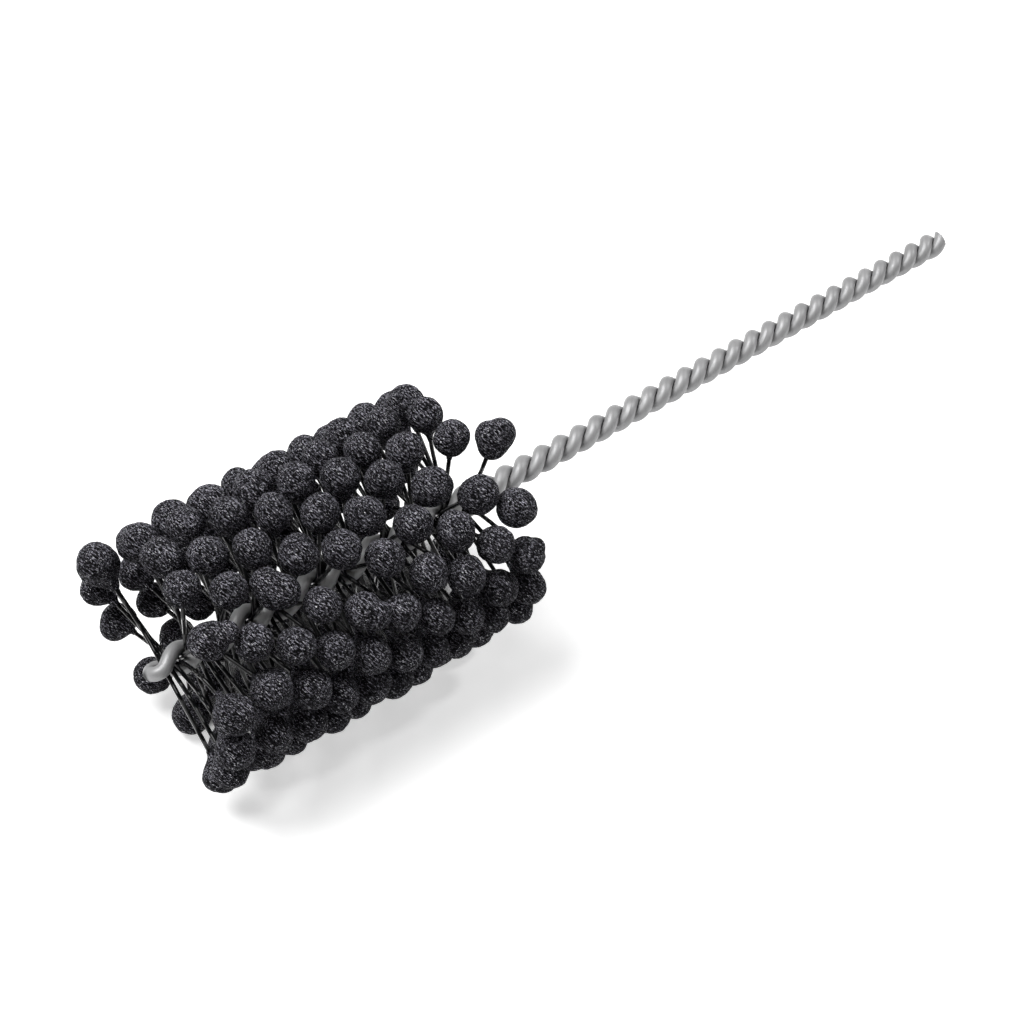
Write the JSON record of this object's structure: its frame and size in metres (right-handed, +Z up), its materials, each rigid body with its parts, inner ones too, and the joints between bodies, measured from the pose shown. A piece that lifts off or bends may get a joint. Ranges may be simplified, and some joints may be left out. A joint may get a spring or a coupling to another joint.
{
  "type": "flexible ball hone",
  "caption": "Flexible ball hone: abrasive globules on nylon filaments that a folded and twisted steel wire holds, its bare end being the shank for a chuck.",
  "frame": {"origin": "middle of the stem's cut shank end", "axes": "+X along the stem, out of its cut end and away from the abrasive head, and +Z up as the tool lies in the picture"},
  "size_m": [0.2051, 0.0529, 0.053],
  "materials": {
    "core_wire": "bright drawn wire, dulled by twisting",
    "nylon_filament": "smooth black monofilament",
    "abrasive_globule": "rough resin-bonded grit with bright grains"
  },
  "bodies": {
    "core": {"core_wire": "core_wire", "nylon_filaments_row_01": "nylon_filament", "nylon_filaments_row_02": "nylon_filament", "nylon_filaments_row_03": "nylon_filament", "nylon_filaments_row_04": "nylon_filament", "nylon_filaments_row_05": "nylon_filament", "nylon_filaments_row_06": "nylon_filament", "nylon_filaments_row_07": "nylon_filament", "nylon_filaments_row_08": "nylon_filament", "nylon_filaments_row_09": "nylon_filament", "nylon_filaments_row_10": "nylon_filament"},
    "globules": {"abrasive_globules_row_01": "abrasive_globule", "abrasive_globules_row_02": "abrasive_globule", "abrasive_globules_row_03": "abrasive_globule", "abrasive_globules_row_04": "abrasive_globule", "abrasive_globules_row_05": "abrasive_globule", "abrasive_globules_row_06": "abrasive_globule", "abrasive_globules_row_07": "abrasive_globule", "abrasive_globules_row_08": "abrasive_globule", "abrasive_globules_row_09": "abrasive_globule", "abrasive_globules_row_10": "abrasive_globule"}
  },
  "joints": [
    {"name": "globules_lag", "type": "hinge", "parent": "core", "child": "globules", "pos_m": [-0.164, 0, 0], "axis": [1, 0, 0], "range_deg": [-12, 12], "stiffness_Nm_per_rad": 3.3, "deforming": ["nylon_filaments_row_01", "nylon_filaments_row_02", "nylon_filaments_row_03", "nylon_filaments_row_04", "nylon_filaments_row_05", "nylon_filaments_row_06", "nylon_filaments_row_07", "nylon_filaments_row_08", "nylon_filaments_row_09", "nylon_filaments_row_10"]}
  ]
}
